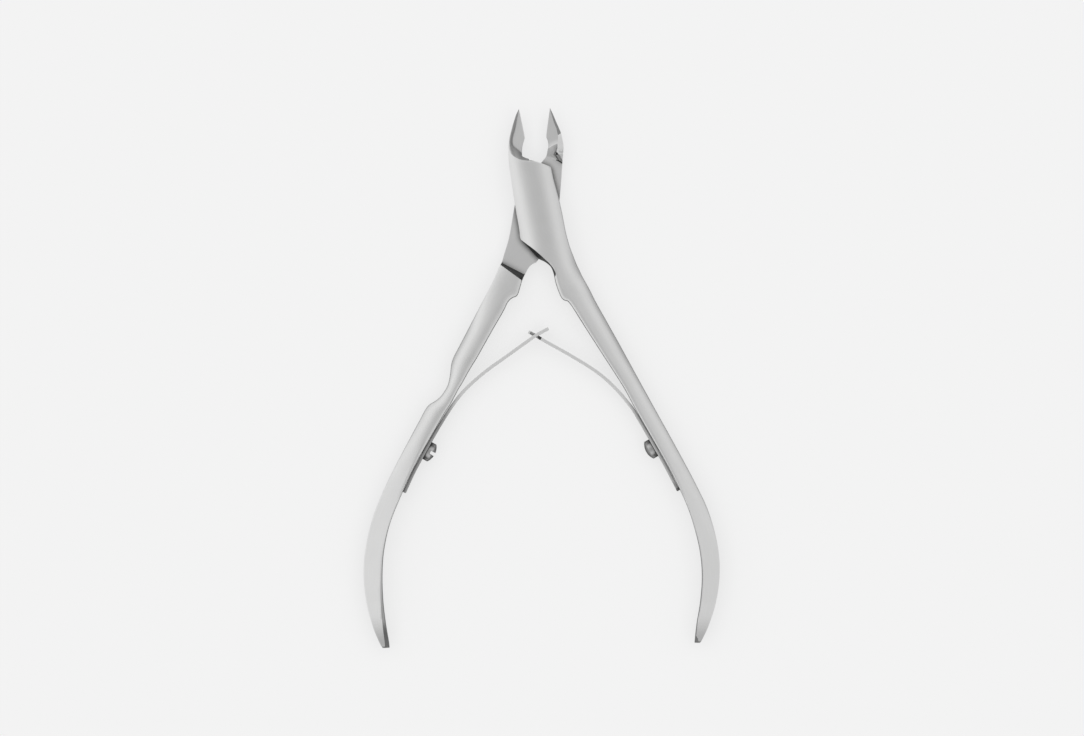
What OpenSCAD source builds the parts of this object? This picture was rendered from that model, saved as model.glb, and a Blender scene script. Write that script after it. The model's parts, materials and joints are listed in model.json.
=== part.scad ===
// Cuticle nipper with a lap joint and two crossed leaf springs, shown open.
// Millimetres. +Y points to the jaw tips, +Z to the front, and the back lies on Z = 0.
// The two halves turn about the Z axis. Turning the rear half by +close_angle closes it.

/* [Joint] */
// Height of the plane between the two laps
mid_z = 3.6; // [3.4:0.1:3.8]
// Running gap between the two laps
lap_gap = 0.06; // [0.04:0.01:0.1]
// Radius of the round shoulders where the laps meet the jaws
shoulder_r = 9.4; // [9.2:0.1:9.6]
// Angle from fully open to blades together
close_angle = 18.3; // [17:0.1:18.3]

/* [Rivet] */
// Radius of the rivet's shank
rivet_r = 1.6; // [1.2:0.1:1.8]
// Radius of the rivet's countersunk head
rivet_head_r = 2.2; // [2:0.1:2.4]
// Depth of the countersunk head
rivet_head_depth = 0.9; // [0.6:0.1:1.2]
// Height that the rivet reaches inside the front lap
rivet_top = 5.6; // [4.8:0.1:5.8]
// Radial running clearance round the rivet in the rear lap
running_gap = 0.05; // [0.02:0.01:0.1]

/* [Jaws] */
// Slope of the two ground facets that meet at each cutting edge
facet_angle = 38; // [36:1:56]
// Radius of the scoop that ends the front facet of each jaw
scoop_r = 3.7; // [3.4:0.1:3.9]
// Flat left on each cutting edge
edge_flat = 0.03; // [0.02:0.01:0.05]

/* [Springs] */
// Thickness of the spring strip
leaf_t = 0.62; // [0.5:0.02:0.7]
// Width of the spring strip at its clamped tail
leaf_w = 4.6; // [4:0.1:5]
// Width of the spring strip at its free tip
leaf_tip_w = 3.4; // [3.2:0.1:3.6]
// Width of the window in the left spring
window_w = 2.2; // [2:0.1:2.4]
// Length of the window in the left spring
window_l = 2.6; // [2.4:0.1:2.8]
// Width of the neck on the right spring
neck_w = 1.6; // [1.4:0.1:1.8]

/* [Spring screws] */
// Radius of the screw head
screw_head_r = 1.92; // [1.7:0.02:2]
// Height of the head's straight side
screw_side_h = 1.05; // [0.9:0.05:1.2]
// Height of the dome above the side
screw_dome_h = 0.65; // [0.4:0.05:0.7]
// Radius of the screw's shank
screw_r = 1; // [0.8:0.1:1.1]
// Length of the shank below the head
screw_l = 3; // [2.6:0.1:3.1]
// Width of the driver slot
slot_w = 0.7; // [0.5:0.05:0.8]
// Depth of the driver slot
slot_d = 1; // [0.8:0.05:1.1]

/* [Hidden] */

far = 60;
round_fn = 64;
steps = 3;
across = 9;
barrel = 2.3;
seat_gap = 0.02;
tail_gap = 0.06;
leaf_steps = 6;
dome_steps = 6;

// Sections from jaw tip to handle end. Each row holds the left edge's x and y, the right
// edge's x and y, the half depth, and the part of it that stands upright at each edge.
front_sections = [
    [-3.74, 18.75, -3.68, 18.75, 0.12, 0.9, 0.9],
    [-4.10, 18.00, -3.53, 18.00, 0.60, 0.5, 0.9],
    [-4.36, 17.40, -3.40, 17.35, 0.95, 0.5, 0.9],
    [-4.85, 15.80, -3.07, 15.70, 1.70, 0.5, 0.9],
    [-5.36, 14.00, -2.69, 13.80, 2.40, 0.5, 0.9],
    [-5.56, 13.20, -2.55, 13.10, 2.65, 0.5, 0.9],
    [-5.70, 12.40, -2.72, 12.40, 2.90, 0.5, 0.9],
    [-5.77, 11.40, -3.00, 11.40, 3.20, 0.5, 0.9],
    [-5.80, 10.50, -3.10, 10.40, 3.45, 0.5, 0.9],
    [-5.80, 9.80, -3.08, 9.65, 3.62, 0.5, 0.8],
    [-5.80, 9.40, -2.90, 9.20, 3.70, 0.5, 0.7],
    [-5.78, 8.90, -1.50, 8.65, 3.76, 0.5, 0.6],
    [-5.75, 8.30, 0.55, 7.95, 3.80, 0.5, 0.55],
    [-5.70, 7.70, 2.20, 7.35, 3.80, 0.5, 0.5],
    [-5.66, 7.25, 2.64, 7.06, 3.80, 0.5, 0.5],
    [-5.60, 6.80, 2.78, 6.72, 3.80, 0.5, 0.5],
    [-5.30, 5.00, 3.15, 4.90, 3.80, 0.5, 0.5],
    [-4.95, 2.50, 3.80, 2.50, 3.80, 0.5, 0.5],
    [-4.55, 0.00, 4.42, 0.20, 3.80, 0.5, 0.5],
    [-4.05, -3.00, 5.10, -3.00, 3.80, 0.5, 0.5],
    [-3.60, -5.60, 5.60, -5.60, 3.80, 0.5, 0.5],
    [-3.28, -7.40, 6.05, -7.40, 3.80, 0.5, 0.5],
    [-1.60, -9.25, 6.50, -8.90, 3.78, 0.5, 0.5],
    [0.10, -11.05, 6.95, -10.10, 3.74, 0.5, 0.5],
    [1.40, -11.75, 7.30, -11.00, 3.70, 0.5, 0.5],
    [2.55, -12.65, 7.65, -11.90, 3.66, 0.6, 0.45],
    [3.05, -13.60, 8.00, -12.70, 3.62, 0.65, 0.4],
    [3.34, -14.60, 8.35, -13.40, 3.58, 0.7, 0.4],
    [3.68, -16.20, 8.90, -14.60, 3.52, 0.8, 0.4],
    [4.60, -18.60, 9.80, -16.20, 3.45, 0.8, 0.35],
    [5.24, -19.40, 10.50, -17.50, 3.42, 0.8, 0.35],
    [6.00, -19.65, 11.00, -18.50, 3.40, 0.8, 0.35],
    [6.60, -20.30, 11.40, -19.30, 3.38, 0.8, 0.35],
    [7.60, -21.80, 12.15, -20.70, 3.35, 0.8, 0.35],
    [9.60, -25.00, 13.40, -22.90, 3.25, 0.8, 0.35],
    [13.20, -30.60, 16.70, -28.80, 3.15, 0.8, 0.35],
    [17.30, -37.00, 20.40, -35.60, 3.10, 0.8, 0.35],
    [20.00, -42.00, 23.10, -40.50, 3.14, 0.8, 0.35],
    [23.80, -48.60, 26.80, -47.20, 3.22, 0.8, 0.35],
    [26.00, -52.50, 29.00, -51.20, 3.35, 0.8, 0.35],
    [28.50, -57.30, 31.70, -56.35, 3.50, 0.75, 0.35],
    [30.70, -62.60, 34.20, -61.80, 3.60, 0.7, 0.3],
    [32.40, -69.00, 36.00, -68.60, 3.66, 0.6, 0.3],
    [32.95, -74.50, 36.35, -74.30, 3.66, 0.6, 0.3],
    [32.60, -79.80, 35.65, -79.60, 3.40, 0.6, 0.3],
    [31.90, -84.00, 34.30, -84.10, 2.90, 0.6, 0.3],
    [31.50, -87.20, 32.90, -87.20, 2.35, 0.6, 0.4],
    [31.42, -87.95, 32.40, -87.95, 2.15, 0.6, 0.4]
];

rear_sections = [
    [2.44, 19.00, 2.50, 19.00, 0.12, 0.9, 0.9],
    [2.34, 18.20, 2.88, 18.20, 0.60, 0.9, 0.5],
    [2.26, 17.50, 3.20, 17.50, 1.00, 0.9, 0.5],
    [2.08, 15.95, 3.82, 16.00, 1.72, 0.9, 0.5],
    [1.87, 14.15, 4.60, 14.20, 2.40, 0.9, 0.5],
    [1.76, 13.25, 4.86, 13.20, 2.65, 0.9, 0.5],
    [2.05, 12.40, 5.03, 12.40, 2.90, 0.9, 0.5],
    [2.18, 11.40, 5.20, 11.30, 3.20, 0.9, 0.5],
    [1.95, 10.20, 5.15, 10.10, 3.50, 0.9, 0.5],
    [1.75, 9.35, 5.05, 9.20, 3.66, 0.8, 0.5],
    [1.20, 8.60, 5.00, 8.40, 3.74, 0.7, 0.5],
    [0.55, 7.95, 4.95, 7.70, 3.80, 0.6, 0.5],
    [-1.00, 7.65, 4.92, 7.20, 3.80, 0.55, 0.5],
    [-2.30, 7.30, 4.88, 6.80, 3.80, 0.5, 0.5],
    [-2.65, 6.90, 4.85, 6.40, 3.80, 0.5, 0.5],
    [-3.15, 4.90, 4.74, 4.60, 3.80, 0.5, 0.5],
    [-3.80, 2.50, 4.55, 2.20, 3.80, 0.5, 0.5],
    [-4.45, 0.00, 4.30, -0.20, 3.80, 0.5, 0.5],
    [-5.00, -3.10, 3.90, -3.20, 3.80, 0.5, 0.5],
    [-5.45, -5.80, 3.55, -5.80, 3.80, 0.5, 0.5],
    [-5.85, -7.60, 3.30, -7.30, 3.80, 0.5, 0.5],
    [-6.35, -9.30, 1.90, -9.20, 3.78, 0.5, 0.5],
    [-6.72, -10.45, 0.60, -10.70, 3.72, 0.5, 0.5],
    [-6.93, -11.20, -0.25, -11.75, 3.68, 0.45, 0.6],
    [-7.05, -11.60, -1.20, -12.25, 3.66, 0.4, 0.65],
    [-7.22, -12.05, -1.90, -13.05, 3.64, 0.4, 0.7],
    [-7.45, -12.55, -2.50, -14.20, 3.62, 0.4, 0.7],
    [-7.70, -13.05, -3.05, -15.40, 3.58, 0.4, 0.75],
    [-8.10, -13.90, -3.45, -16.80, 3.52, 0.4, 0.8],
    [-8.90, -15.70, -4.05, -18.50, 3.45, 0.35, 0.8],
    [-9.50, -16.90, -5.00, -18.98, 3.42, 0.35, 0.8],
    [-9.90, -17.70, -5.90, -19.80, 3.40, 0.35, 0.8],
    [-10.80, -19.40, -6.90, -21.80, 3.35, 0.35, 0.8],
    [-13.00, -23.60, -9.10, -25.60, 3.25, 0.35, 0.8],
    [-15.50, -28.40, -11.90, -30.60, 3.15, 0.35, 0.8],
    [-16.75, -30.80, -13.00, -32.40, 3.12, 0.35, 0.8],
    [-17.25, -32.40, -14.00, -34.10, 3.10, 0.35, 0.8],
    [-17.50, -34.60, -15.00, -35.90, 3.10, 0.35, 0.8],
    [-18.00, -36.60, -15.80, -37.20, 3.10, 0.35, 0.8],
    [-19.20, -38.50, -16.70, -38.90, 3.10, 0.35, 0.8],
    [-20.30, -39.50, -17.50, -40.40, 3.12, 0.35, 0.8],
    [-21.60, -40.30, -18.30, -41.60, 3.14, 0.35, 0.8],
    [-22.40, -41.30, -19.00, -42.80, 3.16, 0.35, 0.8],
    [-23.10, -42.60, -19.70, -44.00, 3.18, 0.35, 0.8],
    [-25.72, -47.50, -22.67, -49.17, 3.24, 0.35, 0.8],
    [-28.20, -52.20, -25.10, -53.70, 3.40, 0.35, 0.8],
    [-30.55, -57.00, -26.95, -57.70, 3.50, 0.35, 0.75],
    [-33.00, -63.20, -29.50, -64.00, 3.62, 0.3, 0.7],
    [-34.35, -69.20, -30.75, -69.60, 3.66, 0.3, 0.6],
    [-34.72, -74.20, -31.08, -74.60, 3.66, 0.3, 0.6],
    [-34.20, -79.50, -30.90, -79.70, 3.40, 0.3, 0.6],
    [-33.00, -84.30, -30.35, -84.20, 2.90, 0.3, 0.6],
    [-31.60, -87.80, -29.75, -87.60, 2.35, 0.4, 0.6],
    [-30.90, -88.95, -29.60, -88.90, 2.15, 0.4, 0.6]
];

// Middle line of each spring strip, from its free tip to where it meets its handle
left_arm = [[2.20, -25.10], [-0.30, -26.45], [-1.65, -27.40], [-6.10, -30.60], [-10.60, -33.85],
            [-14.20, -37.05], [-16.70, -40.05]];
right_arm = [[-1.80, -25.75], [-0.30, -26.55], [1.45, -27.60], [6.80, -30.60], [11.90, -33.80],
             [15.55, -37.00], [18.20, -40.10]];

// From there each strip follows the inner edge of its handle, a small gap away
left_inward = [0.876, -0.482];
right_inward = [-0.870, -0.493];
left_tail_start = -43.5;
right_tail_start = -41.5;
tail_end = -58;
leaf_offset = leaf_t / 2 + tail_gap;
left_tail = [for (s = rear_sections) if (s[3] < left_tail_start && s[3] > tail_end)
    [s[2], s[3]] + left_inward * leaf_offset];
right_tail = [for (s = front_sections) if (s[1] < right_tail_start && s[1] > tail_end)
    [s[0], s[1]] + right_inward * leaf_offset];
left_leaf_line = concat(left_arm, left_tail);
right_leaf_line = concat(right_arm, right_tail);

// Each screw's head stands on the inner side of its strip
left_seat = left_tail[1] + left_inward * (leaf_t / 2 + seat_gap);
right_seat = right_tail[1] + right_inward * (leaf_t / 2 + seat_gap);

// The straight shoulder where the front half's recess meets its handle runs through these
shoulder_outer = [8.3, -11.24];
shoulder_inner = [2.5, -15.03];

// The two strips cross here, the neck of the right one inside the window of the left one
crossing = [-0.30, -26.45];
left_arm_angle = 36.5;
right_arm_angle = 148.5;
arm_l = 32;
neck_l = 2.5;

// The right cutting edge is where the left one goes when the jaws are turned shut
function turned(p, angle) = [p[0] * cos(angle) - p[1] * sin(angle),
                             p[0] * sin(angle) + p[1] * cos(angle)];
blade_gap = 0.06;
left_edge_top = [-3.68, 18.75];
left_edge_heel = [-2.55, 13.10];
right_edge_top = turned(left_edge_top, -close_angle) + [blade_gap, 0];
right_edge_heel = turned(left_edge_heel, -close_angle) + [blade_gap, 0];
left_scoop = [-2.04, 12.10];
right_scoop = [1.20, 12.30];

// Smooth curve through rows of numbers, one row every 1 / n between two given rows
function blend_rows(a, b, c, d, t) =
    0.5 * (2 * b + (c - a) * t + (2 * a - 5 * b + 4 * c - d) * t * t
           + (3 * b - 3 * c + d - a) * t * t * t);
function smooth_rows(rows, n) = let (last = len(rows) - 1) concat(
    [for (i = [0:last - 1], k = [0:n - 1])
        blend_rows(rows[max(i - 1, 0)], rows[i], rows[i + 1], rows[min(i + 2, last)], k / n)],
    [rows[last]]);

// One closed section: over the front from left to right, and back under the rear
function rise(s, u) = let (upright = u < 0 ? s[5] : s[6])
    s[4] * (upright + (1 - upright) * pow(1 - pow(abs(u), barrel), 1 / barrel));
function section_point(s, u, side) = [
    s[0] + (s[2] - s[0]) * (1 + u) / 2,
    s[1] + (s[3] - s[1]) * (1 + u) / 2,
    mid_z + side * rise(s, u)];
function section(s) = concat(
    [for (k = [0:across - 1]) section_point(s, -cos(180 * k / (across - 1)), 1)],
    [for (k = [0:across - 1]) section_point(s, cos(180 * k / (across - 1)), -1)]);

module forged_band(rows) {
    sections = smooth_rows(rows, steps);
    count = len(sections);
    ring = 2 * across;
    points = [for (s = sections) each section(s)];
    sides = [for (i = [0:count - 2], k = [0:ring - 1])
        let (a = i * ring + k, b = i * ring + (k + 1) % ring)
        [a, b, b + ring, a + ring]];
    caps = [[for (k = [ring - 1:-1:0]) k], [for (k = [0:ring - 1]) (count - 1) * ring + k]];
    polyhedron(points, concat(sides, caps), convexity = 6);
}

// Plan of the front half's recess: a round shoulder at the jaw, a straight one at the handle
module recess_plan() {
    circle(r = shoulder_r, $fn = 2 * round_fn);
    polygon([[-far, 0], [far, 0], shoulder_outer, shoulder_inner, [-far, shoulder_inner[1]]]);
}

// Solid to remove from a jaw: the space beyond one ground facet, out to the scoop's wall
module facet_cut(top, heel, scoop, side, outward) {
    run = top - heel;
    turn = atan2(run[1], run[0]) - 90;
    intersection() {
        translate([heel[0], heel[1], mid_z + side * edge_flat])
            rotate([0, 0, turn])
                rotate([0, side * outward * facet_angle, 0])
                    translate([-far, -far, side > 0 ? 0 : -far])
                        cube([2 * far, 2 * far, far]);
        linear_extrude(height = 2 * far, center = true) {
            translate(scoop)
                circle(r = scoop_r, $fn = round_fn);
            translate([scoop[0] - scoop_r, scoop[1]])
                square([2 * scoop_r, scoop_r * 3]);
        }
    }
}

module strip_plan(line, t) {
    points = smooth_rows(line, leaf_steps);
    last = len(points) - 1;
    normals = [for (i = [0:last])
        let (d = points[min(i + 1, last)] - points[max(i - 1, 0)])
        [-d[1], d[0]] / norm(d)];
    polygon(concat(
        [for (i = [0:last]) points[i] + normals[i] * t / 2],
        [for (i = [last:-1:0]) points[i] - normals[i] * t / 2]));
}

module strip(line, t, w) {
    translate([0, 0, mid_z - w / 2])
        linear_extrude(height = w)
            strip_plan(line, t);
}

// Place children with +Z along a screw's axis, from its seat towards the opposite handle
module on_seat(seat, inward) {
    translate([seat[0], seat[1], mid_z])
        rotate([0, 90, atan2(inward[1], inward[0])])
            children();
}

module floor_cut() {
    translate([-far, -2 * far, -far])
        cube([2 * far, 3 * far, far]);
}

module screw_hole(seat, inward, r) {
    on_seat(seat, inward)
        translate([0, 0, -screw_l - seat_gap])
            cylinder(r = r, h = screw_l + 2, $fn = round_fn);
}

module front_half() {
    color("lightsteelblue")
        difference() {
            forged_band(front_sections);
            translate([0, 0, mid_z + lap_gap / 2 - far])
                linear_extrude(height = far)
                    recess_plan();
            facet_cut(left_edge_top, left_edge_heel, left_scoop, 1, 1);
            facet_cut(left_edge_top, left_edge_heel, left_scoop, -1, 1);
            cylinder(r = rivet_r, h = rivet_top, $fn = round_fn);
            screw_hole(right_seat, right_inward, screw_r + seat_gap);
            floor_cut();
        }
}

module rear_half() {
    color("silver")
        difference() {
            forged_band(rear_sections);
            translate([0, 0, mid_z - lap_gap / 2])
                linear_extrude(height = far)
                    mirror([1, 0])
                        recess_plan();
            facet_cut(right_edge_top, right_edge_heel, right_scoop, 1, -1);
            facet_cut(right_edge_top, right_edge_heel, right_scoop, -1, -1);
            rivet_space(running_gap);
            screw_hole(left_seat, left_inward, screw_r + seat_gap);
            floor_cut();
        }
}

// The rivet's own shape, grown by a clearance all round
module rivet_space(gap) {
    rotate_extrude($fn = round_fn)
        polygon([[0, -gap], [rivet_head_r + gap, -gap], [rivet_head_r + gap, 0],
                 [rivet_r + gap, rivet_head_depth], [rivet_r + gap, rivet_top], [0, rivet_top]]);
}

module pivot_rivet() {
    color("gainsboro")
        rivet_space(0);
}

// Two planes that narrow a strip from its tail's width to its tip's width
module arm_taper(tip, angle) {
    for (side = [-1, 1])
        translate([tip[0], tip[1], mid_z + side * leaf_tip_w / 2])
            rotate([0, 0, angle])
                rotate([0, side * atan((leaf_w - leaf_tip_w) / 2 / arm_l), 0])
                    translate([-far, -far / 2, side > 0 ? 0 : -far])
                        cube([2 * far, far, far]);
}

module left_leaf_spring() {
    color("whitesmoke")
        difference() {
            strip(left_leaf_line, leaf_t, leaf_w);
            arm_taper(crossing, left_arm_angle);
            screw_hole(left_seat, left_inward, screw_r + 4 * seat_gap);
            translate([crossing[0], crossing[1], mid_z])
                rotate([0, 0, left_arm_angle - 4])
                    cube([window_l, 2, window_w], center = true);
        }
}

module right_leaf_spring() {
    color("whitesmoke")
        difference() {
            strip(right_leaf_line, leaf_t, leaf_w);
            arm_taper(crossing, right_arm_angle);
            screw_hole(right_seat, right_inward, screw_r + 4 * seat_gap);
            for (side = [-1, 1])
                translate([crossing[0], crossing[1], mid_z + side * (neck_w + leaf_w) / 2])
                    rotate([0, 0, right_arm_angle])
                        cube([neck_l, 3, leaf_w], center = true);
        }
}

module spring_screw(slot_turn) {
    dome_r = (screw_head_r * screw_head_r + screw_dome_h * screw_dome_h) / (2 * screw_dome_h);
    half_turn = asin(screw_head_r / dome_r);
    top = screw_side_h + screw_dome_h;
    difference() {
        rotate_extrude($fn = round_fn)
            polygon(concat(
                [[0, -screw_l], [screw_r, -screw_l], [screw_r, 0], [screw_head_r, 0]],
                [for (k = [dome_steps:-1:0]) let (a = half_turn * k / dome_steps)
                    [dome_r * sin(a), top - dome_r + dome_r * cos(a)]]));
        translate([0, 0, top])
            rotate([0, 0, slot_turn])
                cube([3 * screw_head_r, slot_w, 2 * slot_d], center = true);
    }
}

module left_spring_screw() {
    color("dimgray")
        on_seat(left_seat, left_inward)
            spring_screw(0);
}

module right_spring_screw() {
    color("dimgray")
        on_seat(right_seat, right_inward)
            spring_screw(70);
}

front_half();
rear_half();
pivot_rivet();
left_leaf_spring();
right_leaf_spring();
left_spring_screw();
right_spring_screw();
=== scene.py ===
"""Cuticle nipper: detailed shapes and looks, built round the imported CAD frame.

Blender works in metres. The shape code below works in millimetres in the same frame, and
MM turns its results into metres. Both forged halves are built by one function in the front
half's pose: jaw at upper left, lap on top, handle at lower right. The rear half is the same
kind of forging turned half a turn about the tool's long axis.
"""

import json
import math

import bmesh
import bpy
import numpy as np
from mathutils.geometry import delaunay_2d_cdt
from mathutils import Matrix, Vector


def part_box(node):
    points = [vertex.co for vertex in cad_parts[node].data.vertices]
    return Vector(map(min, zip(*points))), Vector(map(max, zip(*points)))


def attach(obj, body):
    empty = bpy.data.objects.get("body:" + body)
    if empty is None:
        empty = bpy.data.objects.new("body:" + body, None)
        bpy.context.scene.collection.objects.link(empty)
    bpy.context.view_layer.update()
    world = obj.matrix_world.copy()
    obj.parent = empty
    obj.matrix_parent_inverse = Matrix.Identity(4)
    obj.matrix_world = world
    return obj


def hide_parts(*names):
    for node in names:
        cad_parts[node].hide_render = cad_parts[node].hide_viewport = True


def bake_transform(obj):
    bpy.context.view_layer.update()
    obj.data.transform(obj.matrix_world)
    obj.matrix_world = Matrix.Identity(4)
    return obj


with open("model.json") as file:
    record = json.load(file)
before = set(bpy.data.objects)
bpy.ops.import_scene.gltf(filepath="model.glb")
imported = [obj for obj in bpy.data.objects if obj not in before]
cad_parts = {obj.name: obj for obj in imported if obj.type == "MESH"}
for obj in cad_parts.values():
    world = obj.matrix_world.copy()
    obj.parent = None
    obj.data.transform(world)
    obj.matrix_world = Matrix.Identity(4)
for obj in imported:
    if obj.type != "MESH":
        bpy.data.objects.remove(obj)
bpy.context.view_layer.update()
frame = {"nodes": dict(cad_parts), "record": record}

MM = 0.001
JOINTS = {joint["name"]: joint for joint in frame["record"]["behaviour"]["joints"]}
MID = JOINTS["main_pivot"]["pos_m"][2] / MM

# ---- Sizes of the forged halves, in mm ----
LAP_GAP = 0.03            # from the middle plane to each lap's inner face
CREST_TOP = np.array([-1.60, 7.50])    # the lap's crest line passes through this point
CREST_LOW = np.array([1.40, -7.40])    # and this one
BARREL_POWER = 2.3        # how the lap falls away from its crest
BARREL_FALL = 0.0364
LAP_END = -8.0            # from here down the lap turns into the handle
HANDLE_START = -16.0
SHOULDER_R = 9.30          # round shoulder where the recess meets the jaw
SHOULDER_OUTER = np.array([8.30, -11.38])         # straight shoulder at the handle
SHOULDER_INNER = np.array([2.50, -14.35])
SHOULDER_WIDTHS = (0.29, 1.33)   # how wide it slopes at its outer and inner ends
EDGE_WIDTH = 0.12         # small bevel on every edge
WIDE_BEVEL = 1.5 * EDGE_WIDTH
EDGE_DROP = (1.4, 0.22)   # its extra slope on the left and right runs of the outline
OUTER_ROLL = 0.07         # how much more a cover side's handle falls off at its outer edge
GRIP_SOFT = 0.85          # how much gentler the inner edge's bevel is along the grips
BLADE_FLAT = 0.03         # half thickness of the cutting edge
BLADE_SLOPE = math.tan(math.radians(32.5))
SHARP_ANGLE = math.radians(32)

# Half thickness along the tool: (y, half thickness)
THICKNESS = [
    (19.0, 0.10), (18.0, 0.60), (15.8, 1.70), (13.2, 2.65), (11.4, 3.20), (9.8, 3.62), (8.0, 3.80),
    (-7.4, 3.80), (-10.7, 3.72), (-15.4, 3.52), (-20.0, 3.36), (-30.0, 3.15), (-37.0, 3.10),
    (-48.0, 3.22), (-57.0, 3.50), (-68.8, 3.66), (-74.5, 3.66), (-79.7, 3.40), (-84.2, 2.90),
    (-87.5, 2.35), (-89.0, 2.10),
]

# Width of the steep bevel along the inner edge: (y, width), for the front and rear halves
FRONT_BEVEL = [(-7.4, 0.0), (-8.0, 0.12), (-86.6, 0.12), (-87.0, 0.5), (-88.3, 1.0)]
REAR_BEVEL = [(-11.0, 0.12), (-66.0, 0.12), (-74.0, 0.26), (-80.0, 0.40), (-84.0, 0.58),
              (-89.0, 0.86)]

# Where the front half's cover breaks into the wide steep bevel above the springs
CROTCH = [(-3.34, -7.36), (-1.86, -8.46), (-0.30, -9.68), (0.90, -10.74), (1.70, -11.46),
          (2.58, -12.32), (3.22, -13.20), (3.66, -14.30), (3.30, -15.10)]

# Feature lines of the front half's jaw, on its cover side
RIDGE = [(-3.74, 18.72), (-4.10, 16.80), (-4.50, 14.60), (-4.84, 13.44), (-5.00, 12.30),
         (-4.80, 11.40), (-3.95, 10.70), (-3.15, 10.05)]
BARREL_EDGE = [(-6.20, 11.60), (-5.62, 10.50), (-5.26, 9.76), (-4.38, 9.02), (-3.46, 8.62),
               (-2.40, 8.44), (-1.30, 8.36), (-0.30, 8.60)]

# Feature lines of the rear half's jaw, on its recess side, in the front half's pose
TURN_LINE = [(-2.47, 18.95), (-2.74, 17.94), (-3.02, 16.96), (-3.37, 15.84), (-3.74, 14.95),
             (-3.95, 14.15), (-4.10, 13.40), (-4.08, 12.60), (-3.98, 11.80), (-3.96, 10.90),
             (-3.80, 10.25), (-4.10, 9.85), (-4.52, 9.35), (-4.84, 8.75), (-5.40, 8.00)]
FLANK_END = [(-4.00, 13.50), (-5.20, 14.20)]      # the flank with painted shade lies above this line
LOW_RIDGE = [(-1.40, 10.70), (-2.25, 10.96), (-2.94, 11.40), (-3.40, 11.60), (-3.97, 11.85)]
PIT = np.array([-3.88, 9.85])     # small pit with painted shadow, where the cheek's foot starts
PIT_R = 0.22
CHEEK_BANK = 0.03         # width of the step beside the cheek
CHEEK_TURN = 0.92         # how much less than the facet the cheek rises, mm per mm
CHEEK_TOP = 1.70
FOOT_GAP = 0.22
FOOT_RANGE = (10.5, 9.8)  # the cheek's foot spreads out between these two y
FOOT_SPREAD = 0.70        # how much wider the step is there
FOOT_TURN = 0.2           # how far past the pit the gap with painted shadow runs
PIT_DEPTH = 0.5
SCOOP_POWER = 1.3         # how hollow the scoop is
WALL_POWER = 1.1          # how hollow the other jaw's wall is

# The cutting edge's heel on each half, and how much further the rear jaw is turned
HEEL_FRONT = np.array([-2.55, 13.10])
HEEL_REAR = np.array([-1.76, 13.25])
JAW_TURN = math.radians(4.5)

# A handle's cross-section. Places are parts of its width from the inner edge, falls are
# parts of its half thickness, and ranges are where a change starts and ends along y.
CREST_AT = 0.12
CREST_SHIFT = 0.11        # how far the crest moves towards the inner edge on the grip
CREST_BAND = 0.16         # how far it moves out where it is a flat band
INNER_FALL = 0.05
INNER_FALL_MOST = 1.2
INNER_POWER = 1.4
INNER_POWER_BAND = 1.1    # added to the power where the crest is a band
OUTER_FALL = 0.185
OUTER_FALL_GRIP = 0.115   # added on the grip
BAND_SHARE = 0.6          # share of the outer fall that starts gently beside a band
BAND_POWER = 1.6
OUTER_CURL = 0.12         # extra fall towards the outer edge, above the grip
CURL_POWER = 2.6
UPPER_ROLL = 0.05         # extra fall at the outer edge, high up on the handle
ROLL_POWER = 4
FULL_WIDTH = 3.9          # a handle narrower than this falls away less
NARROWEST = 0.4
END_TUCK = 0.12           # how much the face dips over the last END_REACH at the end
END_REACH = 0.5
FLATTER = 0.55            # how much less the rear handle falls away beside the shoulder
THIN_EDGE = 0.2           # no bevels where a face is nearer than this to the middle plane
GRIP_RANGE = (-45, -66)
UPPER_RANGE = (-45, -28)
ROLL_RANGE = (-70, -60)
BAND_RANGE = (-54, -44)
FLATTER_RANGE = (-27, -16)
SOFT_START = (-48, -56)
SOFT_END = (-88, -80)

# Painted shade: how much darker than the plain steel some faces are drawn, standing in for shadow
# and dark reflections: 0 is not at all, 1 is black
END_PAINTED_SHADE = 0.38           # painted shade on the very end of each handle
GRIP_BEVEL_PAINTED_SHADE = 0.58         # painted shade on the wide bevel along the inner edge of a grip
# painted shade on the wide steep bevel at the front half's crotch
CROTCH_PAINTED_SHADE = 0.72
# painted shadow on the recess's sloping shoulder
SHOULDER_PAINTED_SHADOW = 0.86
# painted shade on the concave wall of the front jaw's hollow grind
WALL_PAINTED_SHADE = 0.34
# painted shade on the rear jaw's scoop, its facet and its flank
SCOOP_PAINTED_SHADE = 0.36
FACET_PAINTED_SHADE = 0.22
FLANK_PAINTED_SHADE = 0.66
# painted shadow on the step at the cheek's foot, and in the pit and gap there
FOOT_PAINTED_SHADOW = 0.25
PIT_PAINTED_SHADOW = 0.92
TAIL_PAINTED_SHADE = {"left": 0.40, "right": 0.12}         # painted shade on a leaf spring beside its handle
TAIL_END_PAINTED_SHADE = 0.75      # painted shade on the last of the right spring's tail
NECK_PAINTED_SHADOW = 0.85          # painted shadow on the right spring's neck, in the left one's window
END_RANGE = (-82, -88)
BEVEL_RANGE = (-72, -86)
TAIL_RANGE = (-39, -44)
TAIL_END_RANGE = (-56.2, -56.7)
JAW_FROM = 6.0            # the jaws start here
CROTCH_SPAN = (-17, -7)
GRIP_END = -71.0
NECK_HALF = 1.3           # half the neck's width, with its rounded edges
NECK_FROM = (0.2, -28.2)  # the neck is right of and above this point

# The rivet's head stands just proud of a shallow seat in the rear lap
SEAT_R = 2.26
SEAT_DEPTH = 0.06

# Looks of the steel; lengths here are in metres
EDGE_TINT = 0.40          # how much of the light a surface seen edge-on reflects
GRAIN_LINE = 0.00010      # width of the brushed lines
GRAIN_RUN = 0.004         # and their length
GRAIN_RELIEF = 0.0000012
BLOTCHES = 260.0          # scale of the faint blotches in the roughness
BLOTCH_DEPTH = 0.05
WEAR_LOW = 0.965          # tone of the darkest brushed lines
DARKEST = 0.04            # tone where the painted shade is 1
WARMTH = 0.996            # blue part of the steel's colour
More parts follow.
